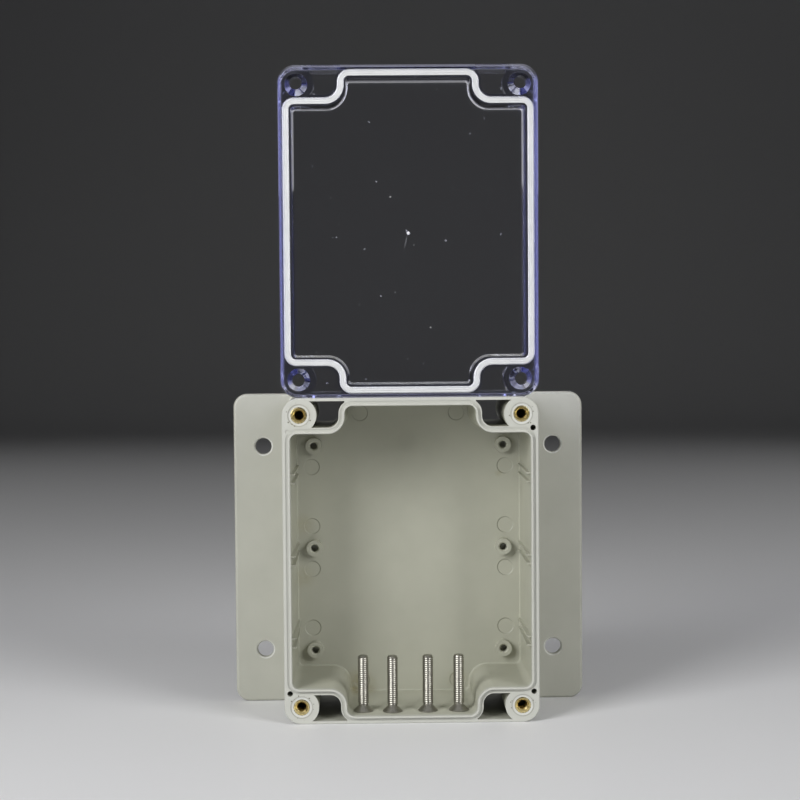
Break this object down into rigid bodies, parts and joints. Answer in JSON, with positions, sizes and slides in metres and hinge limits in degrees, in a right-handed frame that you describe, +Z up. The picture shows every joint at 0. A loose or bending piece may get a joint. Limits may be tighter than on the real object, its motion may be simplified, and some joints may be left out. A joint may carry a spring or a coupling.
{
  "type": "plastic junction box",
  "caption": "Wall-mount junction box with moulded ears, sealing rim, floor standoffs and brass inserts, its clear gasketed cover standing on top and its cover screws inside.",
  "frame": {"origin": "on the ground under the middle of the standing box", "axes": "+X to the viewer's right, +Y from the opening to the back plate, +Z up"},
  "size_m": [0.1296, 0.043, 0.2305],
  "materials": {
    "shell": "light grey ABS, semi-gloss",
    "cover": "clear polycarbonate, polished",
    "gasket": "white silicone rubber",
    "insert": "turned and knurled",
    "screw": "stainless steel"
  },
  "bodies": {
    "base": {"base_shell": "shell", "threaded_insert_upper_left": "insert", "threaded_insert_upper_right": "insert", "threaded_insert_lower_left": "insert", "threaded_insert_lower_right": "insert"},
    "cover": {"clear_cover": "cover", "cover_gasket": "gasket"},
    "screw_1": {"cover_screw_1": "screw"},
    "screw_2": {"cover_screw_2": "screw"},
    "screw_3": {"cover_screw_3": "screw"},
    "screw_4": {"cover_screw_4": "screw"}
  },
  "joints": [
    {"name": "cover_swing", "type": "hinge", "parent": "base", "child": "cover", "pos_m": [0, -0.02053, 0.11515], "axis": [1, 0, 0], "range_deg": [0, 180]},
    {"name": "screw_1_out", "type": "slide", "parent": "base", "child": "screw_1", "axis": [0, 1, 0], "range_m": [-0.05, 0]},
    {"name": "screw_2_out", "type": "slide", "parent": "base", "child": "screw_2", "axis": [0, 1, 0], "range_m": [-0.05, 0]},
    {"name": "screw_3_out", "type": "slide", "parent": "base", "child": "screw_3", "axis": [0, 1, 0], "range_m": [-0.05, 0]},
    {"name": "screw_4_out", "type": "slide", "parent": "base", "child": "screw_4", "axis": [0, 1, 0], "range_m": [-0.05, 0]}
  ]
}
